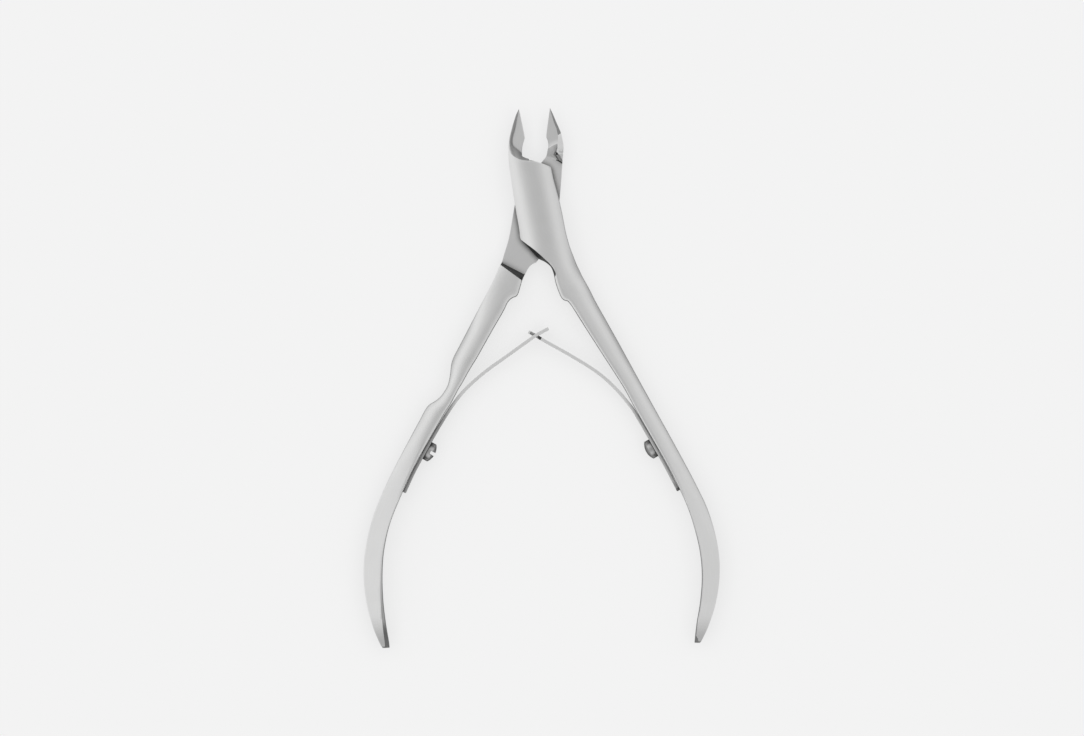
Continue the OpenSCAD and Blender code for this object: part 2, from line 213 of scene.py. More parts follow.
# painted shade in hollows and creases, from ambient occlusion: how far it looks and how dark it
# gets
OCCLUSION_REACH = 0.0012
OCCLUSION_OPEN = (0.35, 0.95)       # from fully closed to open
OCCLUSION_SHADE = 0.2

# The stage; lengths are in metres
FLOOR_SIZE = 1.4
FLOOR_TONE = 0.16
FLOOR_GLOW = 0.70
LAMP_SIZE = 2.0
LAMP_POWER = 22.0
LAMP_HEIGHT = 1.6
# Brightness of the sky by the height looked at: 0 is straight down, 1 is straight up
SKY = [(0.0, 0.30), (0.20, 0.26), (0.29, 0.50), (0.40, 0.50), (0.47, 0.20), (0.51, 0.24),
       (0.65, 0.44), (0.775, 0.78), (0.90, 0.80), (0.975, 0.53), (1.0, 0.44)]
SKY_SIDES = (1.12, 0.88)  # how bright its left and right sides are
VIEW_WIDTH = 0.2168       # width that the camera sees at the tool's middle plane
VIEW_CENTRE = (0.0009, -0.0330)
VIEW_DISTANCE = 1.5
SENSOR = 36.0

# How the meshes are divided, in mm
OUTLINE_HEIGHT = 0.05     # above the middle plane, where the CAD outline is taken
OUTLINE_STEPS = [(6.5, 0.15), (-20, 0.22), (-math.inf, 0.32)]     # (from y up, spacing)
LINE_STEP = 0.12
NOTCH_HALF = 1.3          # half the width of the stretch left out at a screw's hole
NOTCH_REACH = 6.0
TIP_BAND = 0.02           # the tip is the middle of the outline's points this near the top
TIP_GAP = 0.12            # no outline points nearer than this to the jaw's tip
END_BAND = 0.08           # the outline's end runs between its points this near the bottom
END_STEP = 0.25
SHOULDER_STEP = 0.2
SHOULDER_OVERRUN = 0.3    # how much further its creases run, as a part of its length
ARC = (math.radians(60), math.radians(150), 120)    # the round shoulder: from, to, points
RINGS = (0.03, 0.07, EDGE_WIDTH, 0.2, 0.35, 0.55, 0.85)
DENSE_RINGS = 4           # how many rings have as many points as the outline
GRIDS = [(0.14, (6.5, 30), 0.12), (0.22, (-17, -10.5), 0.25),
         (0.30, (-10.5, 6.5), 0.7), (0.42, (-95, -17), 1.1)]      # (spacing, y range, margin)
ROW_RATIO = 0.866         # between the rows and the spacing of a triangular grid
CREASE_GAP = 0.05         # no loose points nearer than this to a crease
WALL_ROWS = 5
LEAF_ROUND = 0.17
SCREW_ROUND = 0.06

# Pose of the small parts: the way each screw points
SCREW_AXES = {"left": (0.876, -0.482), "right": (-0.870, -0.493)}


# ---- Small geometry helpers, all on N x 2 arrays ----
def smooth(edge0, edge1, x):
    t = np.clip((np.asarray(x, float) - edge0) / (edge1 - edge0), 0, 1)
    return t * t * (3 - 2 * t)


def catmull(points, step):
    """Centripetal Catmull-Rom curve through the points, sampled about every step mm."""
    p = np.asarray(points, float)
    spacing = step if callable(step) else (lambda point: step)
    if len(p) < 3:
        n = max(1, round(np.linalg.norm(p[1] - p[0]) / spacing(p[0])))
        return p[0] + (p[1] - p[0]) * np.linspace(0, 1, n + 1)[:, None]
    p = np.vstack([2 * p[0] - p[1], p, 2 * p[-1] - p[-2]])
    out = []
    for a, b, c, d in zip(p, p[1:], p[2:], p[3:]):
        t0 = 0.0
        t1 = t0 + np.linalg.norm(b - a) ** 0.5
        t2 = t1 + np.linalg.norm(c - b) ** 0.5
        t3 = t2 + np.linalg.norm(d - c) ** 0.5
        n = max(1, round(np.linalg.norm(c - b) / spacing(b)))
        t = (t1 + (t2 - t1) * np.arange(n) / n)[:, None]
        ab = (t1 - t) / (t1 - t0) * a + (t - t0) / (t1 - t0) * b
        bc = (t2 - t) / (t2 - t1) * b + (t - t1) / (t2 - t1) * c
        cd = (t3 - t) / (t3 - t2) * c + (t - t2) / (t3 - t2) * d
        abc = (t2 - t) / (t2 - t0) * ab + (t - t0) / (t2 - t0) * bc
        bcd = (t3 - t) / (t3 - t1) * bc + (t - t1) / (t3 - t1) * cd
        out.append((t2 - t) / (t2 - t1) * abc + (t - t1) / (t2 - t1) * bcd)
    out.append(p[-2][None])
    return np.vstack(out)


def to_line(points, line, reach=9.0):
    """Distance from each point to a polyline, and the side: positive on its left."""
    best = np.zeros(len(points))
    side = np.ones(len(points))
    low = np.minimum(line[:-1, 1], line[1:, 1])
    high = np.maximum(line[:-1, 1], line[1:, 1])
    order = np.argsort(points[:, 1], kind="stable")
    for k in range(0, len(points), 500):
        rows = order[k:k + 500]
        p = points[rows]
        near = (high > p[:, 1].min() - reach) & (low < p[:, 1].max() + reach)
        near = near if near.any() else np.ones(len(line) - 1, bool)
        a, d = line[:-1][near], (line[1:] - line[:-1])[near]
        q = p[:, None] - a[None]
        t = np.clip((q * d).sum(2) / np.maximum((d ** 2).sum(1), 1e-12), 0, 1)
        dist = ((q - t[..., None] * d) ** 2).sum(2)
        i = dist.argmin(1)
        j = np.arange(len(i))
        best[rows] = np.sqrt(dist[j, i])
        cross = d[i, 0] * q[j, i, 1] - d[i, 1] * q[j, i, 0]
        side[rows] = np.where(cross >= 0, 1, -1)
    return best, side


def inside(points, outline):
    """Even-odd test of each point against a closed outline."""
    a, b = outline, np.roll(outline, -1, 0)
    hit = np.zeros(len(points), bool)
    for (ax, ay), (bx, by) in zip(a, b):
        if ay == by:
            continue
        crosses = (ay > points[:, 1]) != (by > points[:, 1])
        x = ax + (points[:, 1] - ay) * (bx - ax) / (by - ay)
        hit ^= crosses & (points[:, 0] < x)
    return hit


# ---- Outlines taken from the CAD nodes ----
def sliced_outline(node, height, flip):
    """Largest closed outline of a node at one height above MID, counterclockwise, in mm."""
    bm = bmesh.new()
    bm.from_mesh(frame["nodes"][node].data)
    bmesh.ops.scale(bm, vec=(1 / MM,) * 3, verts=bm.verts)
    bmesh.ops.remove_doubles(bm, verts=bm.verts, dist=1e-4)
    cut = bmesh.ops.bisect_plane(
        bm, geom=bm.verts[:] + bm.edges[:] + bm.faces[:], dist=1e-6,
        plane_co=(0, 0, MID + flip * height), plane_no=(0, 0, 1))["geom_cut"]
    left = dict.fromkeys(e for e in cut if isinstance(e, bmesh.types.BMEdge))
    best, best_area = None, 0
    while left:
        edge = left.popitem()[0]
        start, v = edge.verts
        loop = [start.co.xy[:]]
        while v is not start:
            loop.append(v.co.xy[:])
            edge = next((e for e in v.link_edges if e in left), None)
            if edge is None:
                break
            del left[edge]
            v = edge.other_vert(v)
        p = np.array(loop) * (flip, 1)
        q = np.roll(p, -1, 0)
        area = (p[:, 0] * q[:, 1] - q[:, 0] * p[:, 1]).sum() / 2
        if abs(area) > abs(best_area):
            best, best_area = p, area
    bm.free()
    return best if best_area > 0 else best[::-1]


def without_notch(outline, screw, flip):
    """Drops the outline's points inside the screw's hole, which leaves a straight run there."""
    axis_point, axis = screw
    q = outline - axis_point * (flip, 1)
    along = axis * (flip, 1)
    off = np.abs(q[:, 0] * along[1] - q[:, 1] * along[0])
    return outline[(off > NOTCH_HALF) | (np.linalg.norm(q, axis=1) > NOTCH_REACH)]


def thinned(points, tolerance=0.004):
    """Fewest of the points that keep the line within the tolerance."""
    keep = {0, len(points) - 1}
    todo = [(0, len(points) - 1)]
    while todo:
        i, j = todo.pop()
        if j - i < 2:
            continue
        d, _ = to_line(points[i + 1:j], points[[i, j]])
        k = int(d.argmax())
        if d[k] > tolerance:
            keep.add(i + 1 + k)
            todo += [(i, i + 1 + k), (i + 1 + k, j)]
    return points[sorted(keep)]


def outline_step(p):
    """Spacing of the outline's points: finest at the jaw, coarsest along the handle."""
    return next(step for low, step in OUTLINE_STEPS if p[1] > low)


def resampled(points, corner=math.radians(24)):
    """Smooth curve through an open run of points, kept sharp at its corners."""
    p = thinned(points)
    d = np.diff(p, axis=0)
    heading = np.arctan2(d[:, 1], d[:, 0])
    turn = np.abs((np.diff(heading) + math.pi) % (2 * math.pi) - math.pi)
    cuts = [0] + [i + 1 for i, t in enumerate(turn) if t > corner] + [len(p) - 1]
    runs = [catmull(p[i:j + 1], outline_step) for i, j in zip(cuts, cuts[1:])]
    return np.vstack([r[:-1] for r in runs] + [runs[-1][-1:]])


def half_outline(node, screw, flip):
    """The half's outline as three runs from the jaw tip: left edge, end, right edge."""
    p = without_notch(sliced_outline(node, OUTLINE_HEIGHT, flip), screw, flip)
    p = np.roll(p, -int(p[:, 1].argmax()), 0)
    low = p[:, 1].min()
    ends = np.flatnonzero(p[:, 1] < low + END_BAND)
    first, last = ends.min(), ends.max()
    tip = p[p[:, 1] > p[:, 1].max() - TIP_BAND].mean(0)
    down, up = [run[np.linalg.norm(run - tip, axis=1) > TIP_GAP]
                for run in (p[1:first + 1], p[last:])]
    left = resampled(np.vstack([tip, down]))
    right = resampled(np.vstack([up, tip]))
    end = catmull([left[-1], right[0]], END_STEP)
    return left, end, right


# ---- Height of the two faces of a half above and below the middle plane ----
class Half:
    """One forged half in the front half's pose: outline, jaw frame and height fields."""

    def __init__(self, runs, bevel, crotch, from_front, from_rear):
        self.left, self.end, self.right = runs
        self.outline = np.vstack([run[:-1] for run in runs])
        self.bevel = np.array(bevel)[::-1]
        self.crotch = catmull(crotch, LINE_STEP) if crotch else None
        blade = self.right[self.right[:, 1] > 12.3]
        self.heel = blade[blade[:, 0].argmax()]
        run = self.left[0] - self.heel
        self.blade_out = np.array([-run[1], run[0]]) / np.linalg.norm(run)
        self.ridge = catmull(from_front(RIDGE), LINE_STEP)
        self.barrel_edge = catmull(from_front(BARREL_EDGE), LINE_STEP)
        self.turn_line = catmull(from_rear(TURN_LINE), LINE_STEP)
        self.flank_end = catmull(from_rear(FLANK_END), LINE_STEP)
        self.low_ridge = catmull(from_rear(LOW_RIDGE), LINE_STEP)
        self.pit = from_rear([PIT])[0]

    def edges(self, p):
        """Distances to the left run, the end and the right run of the outline."""
        return [to_line(p, run)[0] for run in (self.left, self.end, self.right)]

    def bevel_width(self, y):
        """Width of the bevel along the inner edge at each y."""
        return np.interp(y, self.bevel[:, 0], self.bevel[:, 1], right=0.0)

    def facet(self, p):
        """Height of the ground facet that rises from the cutting edge."""
        return BLADE_FLAT + np.maximum((p - self.heel) @ self.blade_out, 0) * BLADE_SLOPE

    def thickness(self, p):
        """Half thickness of the forging at each point."""
        y, t = np.array(THICKNESS).T
        return np.interp(p[:, 1], y[::-1], t[::-1])

    def barrel(self, p):
        """The lap's rounded outer face, carried on up the jaw."""
        d = CREST_LOW - CREST_TOP
        off = np.abs((p[:, 0] - CREST_TOP[0]) * d[1] - (p[:, 1] - CREST_TOP[1]) * d[0])
        off /= np.linalg.norm(d)
        return self.thickness(p) - BARREL_FALL * off ** BARREL_POWER

    def handle(self, p, edges, flatter=0.0, band=0.0, roll=0.0):
        """The handle's face: crest near its inner edge, falling away to its outer edge.

        flatter takes that share of the fall away, band widens the flat crest, and roll
        turns the outer edge down further, above the grip.
        """
        left, end, right = edges
        y = p[:, 1]
        u = left / (left + right + 1e-9)
        grip = smooth(*GRIP_RANGE, y)
        crest = CREST_AT - CREST_SHIFT * grip + CREST_BAND * band
        inner = np.clip((crest - u) / crest, 0, 1)
        outer = np.clip((u - crest) / (1 - crest), 0, 1)
        fall_in = INNER_FALL * np.minimum(crest / CREST_AT, INNER_FALL_MOST)
        fall_in = fall_in * inner ** (INNER_POWER + INNER_POWER_BAND * band)
        gentle = BAND_SHARE * band
        fall_out = OUTER_FALL + OUTER_FALL_GRIP * grip
        fall_out = fall_out * ((1 - gentle) * outer + gentle * outer ** BAND_POWER)
        fall_out = fall_out + OUTER_CURL * (1 - grip) * outer ** (CURL_POWER - grip)
        edge_roll = UPPER_ROLL * smooth(*UPPER_RANGE, y) + roll * smooth(*ROLL_RANGE, y)
        narrow = np.clip((left + right) / FULL_WIDTH, NARROWEST, 1)
        fall_out = (fall_out + edge_roll * outer ** ROLL_POWER) * (1 - flatter) * narrow
        tuck = END_TUCK * (1 - np.clip(end / END_REACH, 0, 1)) ** 2
        return self.thickness(p) * (1 - np.where(u < crest, fall_in, fall_out)) * (1 - tuck)

    def body(self, p, edges):
        """The cover side's face without the jaw: the lap, turning into the handle."""
        w = smooth(LAP_END, HANDLE_START, p[:, 1])
        return self.barrel(p) * (1 - w) + self.handle(p, edges, roll=OUTER_ROLL) * w

    def edge_bevel(self, p, edges, height):
        """Takes the small bevels off a face next to the outline, and gives the painted shade on
        the handle's end, a grip's wide bevel and the crotch bevel.
        """
        left, end, right = edges
        y = p[:, 1]
        width = self.bevel_width(y)
        soft = smooth(*SOFT_START, y) * smooth(*SOFT_END, y)
        fall = np.maximum(np.clip(width - left, 0, None) * EDGE_DROP[0] * (1 - GRIP_SOFT * soft),
                          np.clip(EDGE_WIDTH - np.minimum(right, end), 0, None) * EDGE_DROP[1])
        # painted shade on the handle's end, on a grip's wide inner bevel and on the crotch bevel
        shade = END_PAINTED_SHADE * smooth(*END_RANGE, y)
        shade = np.where((width > WIDE_BEVEL) & (left < width),
                         GRIP_BEVEL_PAINTED_SHADE * smooth(*BEVEL_RANGE, y), shade)
        if self.crotch is not None:
            beyond, side = to_line(p, self.crotch)
            fall = np.maximum(fall, np.where(side < 0, beyond * EDGE_DROP[0], 0))
            shade = np.where((side < 0) & (beyond > 0.01), CROTCH_PAINTED_SHADE, shade)
        return height - fall * np.clip(height - THIN_EDGE, 0, 1), shade

    def cover_side(self, p):
        """Height above the middle plane of the face with the lap's rounded cover."""
        edges = self.edges(p)
        height = self.body(p, edges)
        shade = np.zeros(len(p))
        jaw = p[:, 1] > JAW_FROM
        height[jaw], shade[jaw] = self.hollow(p[jaw], edges[0][jaw], height[jaw])
        height, dark = self.edge_bevel(p, edges, height)
        return height, np.maximum(shade, dark)

    def hollow(self, p, rim, base):
        """The jaw's hollow grind: flat facet inside the ridge, concave wall up to the rim."""
        facet = np.minimum(self.facet(p), base)
        to_ridge, side = to_line(p, self.ridge)
        to_barrel, above = to_line(p, self.barrel_edge)
        w = to_ridge / (to_ridge + np.minimum(to_barrel, rim) + 1e-9)
        wall = facet + (base - facet) * w ** WALL_POWER
        height = np.where(above > 0, np.where(side > 0, facet, wall), base)
        # painted shade on the wall, darkest next to the ridge
        dark = WALL_PAINTED_SHADE * (1 - w) * smooth(0, 0.1, to_ridge)
        return height, np.where((above > 0) & (side < 0), dark, 0.0)

    def recess_side(self, p):
        """Depth below the middle plane of the face with the recess for the other lap."""
        edges = self.edges(p)
        floor = np.full(len(p), -LAP_GAP)
        w = shoulder_part(p)
        flatter = FLATTER * smooth(*FLATTER_RANGE, p[:, 1])
        band = smooth(*BAND_RANGE, p[:, 1])
        height = floor + (self.handle(p, edges, flatter, band) - floor) * w
        # painted shadow across the sloping shoulder
        shade = np.where((w > 0) & (w < 1), SHOULDER_PAINTED_SHADOW, 0.0)
        jaw = p[:, 1] > JAW_FROM
        height[jaw], shade[jaw] = self.recess_jaw(p[jaw])
        height, dark = self.edge_bevel(p, edges, height)
        return height, np.maximum(shade, dark * (w > 0))

    def recess_jaw(self, p):
        """The jaw's face on the recess side: facet, cheek, and a scoop down to the recess."""
        base = self.barrel(p)
        facet = np.minimum(self.facet(p), base)
        to_turn, turn_side = to_line(p, self.turn_line)
        to_low, low_side = to_line(p, self.low_ridge)
        flank = to_line(p, self.flank_end)[1] < 0
        reach = np.linalg.norm(p, axis=1) - SHOULDER_R
        # scoop from the low ridge down to the recess floor
        w = to_low / (to_low + np.maximum(reach, 0) + 1e-9)
        scoop = -LAP_GAP + (facet + LAP_GAP) * (1 - w) ** SCOOP_POWER
        below = low_side > 0
        face = np.where(below, scoop, facet)
        # painted shade on the scoop, and on the facet away from the low ridge
        shade = np.where(below, SCOOP_PAINTED_SHADE * smooth(0, 0.5, reach),
                         FACET_PAINTED_SHADE * smooth(0.1, 1.2, to_low))
        # flank and cheek: they turn over from the facet, and stand over the scoop as a step
        outer = turn_side < 0
        crown = np.minimum(self.facet(p) - np.where(outer, CHEEK_TURN * to_turn, 0), CHEEK_TOP)
        crown = np.clip(crown, 0, base)
        # the cheek's foot: its step spreads out there and gets painted shadow
        foot = smooth(*FOOT_RANGE, p[:, 1])
        bank = np.clip(1 - to_turn / (CHEEK_BANK + FOOT_SPREAD * foot), 0, 1)
        face = np.where(outer, crown,
                        np.where(below, face + np.maximum(crown - face, 0) * bank, face))
        # painted shade on the flank
        shade = np.where(outer, np.where(flank, FLANK_PAINTED_SHADE, 0.0),
                         np.where(below & (bank > 0), FOOT_PAINTED_SHADOW * foot, shade))
        # pit and thin gap at the cheek's foot, both with painted shadow
        to_pit = np.linalg.norm(p - self.pit, axis=1)
        at_foot = (p[:, 0] < self.pit[0] + FOOT_TURN) & (reach < FOOT_GAP)
        face = -LAP_GAP + (face + LAP_GAP) * np.clip(reach / FOOT_GAP, 0, 1)
        face = face - PIT_DEPTH * np.clip(1 - to_pit / PIT_R, 0, 1)
        shade = np.where(at_foot | (to_pit < PIT_R), PIT_PAINTED_SHADOW, shade)
        return (np.where(reach <= 0, -LAP_GAP, np.maximum(face, -LAP_GAP)),
                np.where(reach <= 0, 0.0, shade))


def shoulder_part(p):
    """0 on the recess floor, 1 on the handle, and between them across the sloping shoulder."""
    d = SHOULDER_INNER - SHOULDER_OUTER
    length = np.linalg.norm(d)
    q = p - SHOULDER_OUTER
    beyond = (q[:, 1] * d[0] - q[:, 0] * d[1]) / length
    along = np.clip(q @ d / length ** 2, 0, 1)
    low, high = SHOULDER_WIDTHS
    return np.clip(beyond / (low + (high - low) * along), 0, 1)


# ---- Meshes ----
def ring_points(outline, distances):
    """Points inside the outline at set distances from it, where there is room for them."""
    closed = np.vstack([outline, outline[:1]])
    d = np.roll(outline, -1, 0) - np.roll(outline, 1, 0)
    inward = np.stack([-d[:, 1], d[:, 0]], 1) / np.linalg.norm(d, axis=1)[:, None]
    out = []
    for k, distance in enumerate(distances):
        step = 1 if k < DENSE_RINGS else 2
        p = (outline + inward * distance)[::step]
        p = p[inside(p, outline)]
        out.append(p[to_line(p, closed)[0] > distance * 0.97])
    return np.vstack(out)


def grid_points(outline, spacing, y_range, margin):
    """Triangular grid inside the outline, at least a margin away from it."""
    low, high = outline.min(0), outline.max(0)
    low[1], high[1] = max(low[1], y_range[0]), min(high[1], y_range[1])
    columns = np.arange(low[0], high[0], spacing)
    rows = np.arange(low[1], high[1], spacing * ROW_RATIO)
    p = np.vstack([np.stack([columns + (i % 2) * spacing / 2, np.full(len(columns), y)], 1)
                   for i, y in enumerate(rows)])
    p = p[inside(p, outline)]
    return p[to_line(p, np.vstack([outline, outline[:1]]))[0] > margin]


def triangulated(half, features):
    """Triangulates the outline with rings, grids and creases; outline points come first."""
    outline = half.outline
    closed = np.vstack([outline, outline[:1]])
    extra, edges = [], []
    count = len(outline)
    for line in features:
        ok = inside(line, outline) & (to_line(line, closed)[0] > 0.03)
        index = {i: count + k for k, i in enumerate(np.flatnonzero(ok))}
        edges += [(index[i], index[i + 1]) for i in index if i + 1 in index]
        extra.append(line[ok])
        count += len(index)
    fill = np.vstack([ring_points(outline, RINGS)] + [grid_points(outline, *g) for g in GRIDS])
    to_crease = np.min([to_line(fill, line)[0] for line in features], axis=0)
    points = np.vstack([outline] + extra + [fill[to_crease > CREASE_GAP]])
    coords, _, faces, origin, _, _ = delaunay_2d_cdt(
        [tuple(p) for p in points], edges, [list(range(len(outline)))], 1, 1e-6)
    where = {}
    for i, sources in enumerate(origin):
        for s in sources:
            where[s] = i
    return np.array([c[:] for c in coords]), faces, [where[i] for i in range(len(outline))]


def offset_run(run, widths):
    """The run moved inwards, which is to its left, by a width at each point."""
    d = np.gradient(run, axis=0)
    inward = np.stack([-d[:, 1], d[:, 0]], 1) / np.linalg.norm(d, axis=1)[:, None]
    return run + inward * widths[:, None]


def feature_lines(half):
    """The creases that the mesh follows, on the cover side and on the recess side."""
    widths = half.bevel_width(half.left[:, 1])
    wide = widths > WIDE_BEVEL
    bevels = [offset_run(half.left, widths)[wide]]
    if half.crotch is not None:
        bevels.append(half.crotch)
    along = SHOULDER_INNER - SHOULDER_OUTER
    across = np.array([-along[1], along[0]]) / np.linalg.norm(along)
    ends = np.array([SHOULDER_OUTER, SHOULDER_INNER])
    widened = ends + across * np.array(SHOULDER_WIDTHS)[:, None]
    shoulder = [catmull([a - (b - a) * SHOULDER_OVERRUN, b + (b - a) * SHOULDER_OVERRUN],
                        SHOULDER_STEP)
                for a, b in (ends, widened)]
    turn = np.linspace(*ARC)
    arc = np.stack([np.cos(turn), np.sin(turn)], 1) * SHOULDER_R
    return ([half.ridge, half.barrel_edge] + bevels,
            [half.turn_line, half.flank_end, half.low_ridge, arc] + shoulder + bevels
            + [offset_run(half.turn_line, np.full(len(half.turn_line), CHEEK_BANK))])


def shaded(p):
    """Where a face may carry painted shade: the jaw, the crotch and the handle's end."""
    y = p[:, 1]
    low, high = CROTCH_SPAN
    return (y > JAW_FROM) | ((y < high) & (y > low)) | (y < GRIP_END)


def add_walls(verts, rims):
    """Adds rows of vertices between the two faces' rims, and returns the wall's faces."""
    rings = [rims[0]]
    for k in range(1, WALL_ROWS):
        t = k / WALL_ROWS
        row = []
        for a, b in zip(*rims):
            (x, y, top), low = verts[a], verts[b][2]
            row.append(len(verts))
            verts.append((x, y, top + (low - top) * t))
        rings.append(row)
    rings.append(rims[1])
    n = len(rims[0])
    return [[upper[i], lower[i], lower[(i + 1) % n], upper[(i + 1) % n]]
            for upper, lower in zip(rings, rings[1:]) for i in range(n)]


def set_shade(mesh, values):
    """Stores each face's painted shade: how much darker than the plain steel it is drawn."""
    attribute = mesh.attributes.new("shade", "FLOAT", "FACE")
    attribute.data.foreach_set("value", np.array(values, np.float32))


def set_grain(mesh, verts, left_run, flip):
    """Stores a place for each vertex in which the brushed lines run along the handle."""
    v = np.array(verts)
    across = to_line(v[:, :2], left_run)[0] + np.abs(v[:, 2] - MID) * 0.5
    grain = np.stack([across, v[:, 1], np.full(len(v), flip)], 1)
    attribute = mesh.attributes.new("grain", "FLOAT_VECTOR", "POINT")
    attribute.data.foreach_set("vector", (grain * MM).astype(np.float32).ravel())


def built_half(name, node, body, screw, flip, bevel, crotch, from_front, from_rear):
    """Builds one forged half from its CAD node's outline and its two height fields."""
    half = Half(half_outline(node, screw, flip), bevel, crotch, from_front, from_rear)
    verts, faces, shade, rims = [], [], [], []
    top_lines, low_lines = feature_lines(half)
    if flip < 0:
        turn = np.linspace(0, 2 * math.pi, 73)
        ring = np.stack([np.cos(turn), np.sin(turn)], 1)
        top_lines = top_lines + [ring * SEAT_R, ring * (SEAT_R + SEAT_DEPTH)]
    for up, lines, field in ((1, top_lines, half.cover_side), (-1, low_lines, half.recess_side)):
        points, triangles, rim = triangulated(half, lines)
        height, _ = field(points)
        start = len(verts)
        verts += [(x, y, MID + up * h) for (x, y), h in zip(points, height)]
        # painted shade of each face, taken from the field at its middle
        middles = points[np.array(triangles)].mean(1)
        dark = np.zeros(len(middles))
        where = shaded(middles)
        dark[where] = field(middles[where])[1]
        shade += list(dark)
        faces += [[start + i for i in (t if up > 0 else reversed(t))] for t in triangles]
        rims.append([start + i for i in rim])
    walls = add_walls(verts, rims)
    faces += walls
    shade += [0.0] * len(walls)
    v = np.array(verts)
    if flip < 0:
        v = v * (-1, 1, -1) + (0, 0, 2 * MID)
        in_seat = (np.linalg.norm(v[:, :2], axis=1) < SEAT_R + 0.01) & (v[:, 2] < 1)
        v[in_seat, 2] = np.maximum(v[in_seat, 2], SEAT_DEPTH)
    v[:, 2] = np.maximum(v[:, 2], 0)
    mesh = bpy.data.meshes.new(name)
    mesh.from_pydata((v * MM).tolist(), [], faces)
    set_shade(mesh, shade)
    set_grain(mesh, verts, half.left, flip)
    return finished(name, mesh, node, body)


def finished(name, mesh, node, body):
    """Makes the piece's object in place of its CAD node, riding on its body if it has one."""
    mesh.validate()
    mesh.shade_smooth()
    mesh.set_sharp_from_angle(angle=SHARP_ANGLE)
    piece = bpy.data.objects.new(name, mesh)
    bpy.context.scene.collection.objects.link(piece)
    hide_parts(node)
    if body:
        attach(piece, body)
    return piece


def bevelled_copy(name, node, width, segments=2, corner=math.radians(35)):
    """A copy of a CAD node with its sharp edges rounded."""
    bm = bmesh.new()
    bm.from_mesh(frame["nodes"][node].data)
    bmesh.ops.scale(bm, vec=(1 / MM,) * 3, verts=bm.verts)
    bmesh.ops.remove_doubles(bm, verts=bm.verts, dist=1e-3)
    bmesh.ops.dissolve_limit(bm, angle_limit=math.radians(0.05), verts=bm.verts, edges=bm.edges)
    sharp = [e for e in bm.edges if len(e.link_faces) == 2 and e.calc_face_angle() > corner]
    bmesh.ops.bevel(bm, geom=sharp, offset=width, segments=segments, profile=0.5, affect="EDGES",
                    clamp_overlap=True)
    bmesh.ops.triangulate(bm, faces=[f for f in bm.faces if len(f.verts) > 4])
    bmesh.ops.scale(bm, vec=(MM,) * 3, verts=bm.verts)
    mesh = bpy.data.meshes.new(name)
    bm.to_mesh(mesh)
    bm.free()
    return mesh


# ---- Materials ----
def node_between(tree, kind, value, socket, **settings):
    """Adds a node fed by a value, and sets its other inputs by name."""
    node = tree.nodes.new(kind)
    for name, setting in settings.items():
        node.inputs[name.replace("_", " ")].default_value = setting
    tree.links.new(value, node.inputs[socket])
    return node


def steel(name, tone, roughness, grain_from):
    """Satin stainless steel: fine brushed lines, faint blotches, and painted shade from each
    face's shade attribute and from ambient occlusion in the hollows.
    """
    material = bpy.data.materials.new(name)
    material.use_nodes = True
    tree = material.node_tree
    shader = tree.nodes["Principled BSDF"]
    shader.inputs["Metallic"].default_value = 1.0
    shader.inputs["Specular Tint"].default_value = (EDGE_TINT, EDGE_TINT, EDGE_TINT, 1)
    if grain_from == "attribute":
        place = tree.nodes.new("ShaderNodeAttribute")
        place.attribute_name = "grain"
        vector = place.outputs["Vector"]
    else:
        vector = tree.nodes.new("ShaderNodeTexCoord").outputs["Object"]
    stretch = node_between(tree, "ShaderNodeMapping", vector, "Vector",
                           Scale=(1 / GRAIN_LINE, 1 / GRAIN_RUN, 1 / GRAIN_LINE))
    lines = node_between(tree, "ShaderNodeTexNoise", stretch.outputs["Vector"], "Vector",
                         Scale=1.0, Detail=3.0)
    object_place = tree.nodes.new("ShaderNodeTexCoord").outputs["Object"]
    blotches = node_between(tree, "ShaderNodeTexNoise", object_place, "Vector",
                            Scale=BLOTCHES, Detail=2.0)
    rough = node_between(tree, "ShaderNodeMapRange", blotches.outputs["Fac"], "Value",
                         To_Min=roughness - BLOTCH_DEPTH, To_Max=roughness + BLOTCH_DEPTH)
    tree.links.new(rough.outputs["Result"], shader.inputs["Roughness"])
    bump = node_between(tree, "ShaderNodeBump", lines.outputs["Fac"], "Height",
                        Strength=1.0, Distance=GRAIN_RELIEF)
    tree.links.new(bump.outputs["Normal"], shader.inputs["Normal"])
    wear = node_between(tree, "ShaderNodeMapRange", lines.outputs["Fac"], "Value",
                        From_Min=0.3, From_Max=0.7, To_Min=WEAR_LOW, To_Max=1.0)
    # painted shade: the faces' shade attribute darkens the base colour
    shade = tree.nodes.new("ShaderNodeAttribute")
    shade.attribute_name = "shade"
    dark = node_between(tree, "ShaderNodeMapRange", shade.outputs["Fac"], "Value",
                        To_Min=1.0, To_Max=DARKEST)
    # painted shade in hollows and creases: ambient occlusion darkens the base colour
    occlusion = tree.nodes.new("ShaderNodeAmbientOcclusion")
    occlusion.samples = 8
    occlusion.inputs["Distance"].default_value = OCCLUSION_REACH
    occlusion_shade = node_between(tree, "ShaderNodeMapRange", occlusion.outputs["AO"], "Value",
                         From_Min=OCCLUSION_OPEN[0], From_Max=OCCLUSION_OPEN[1],
                         To_Min=OCCLUSION_SHADE, To_Max=1.0)
    tint = None
    for factor in (wear, dark, occlusion_shade):
        dim = tree.nodes.new("ShaderNodeVectorMath")
        dim.operation = "SCALE"
        if tint is None:
            dim.inputs[0].default_value = (tone, tone, tone * WARMTH)
        else:
            tree.links.new(tint, dim.inputs[0])
        tree.links.new(factor.outputs["Result"], dim.inputs["Scale"])
        tint = dim.outputs["Vector"]
    tree.links.new(tint, shader.inputs["Base Color"])
    return material


FORGED = steel("forged_satin", 0.915, 0.32, "attribute")
SPRING = steel("spring_satin", 0.97, 0.40, "object")
SCREW = steel("screw_turned", 0.62, 0.30, "object")
RIVET = steel("rivet_ground", 0.85, 0.30, "object")


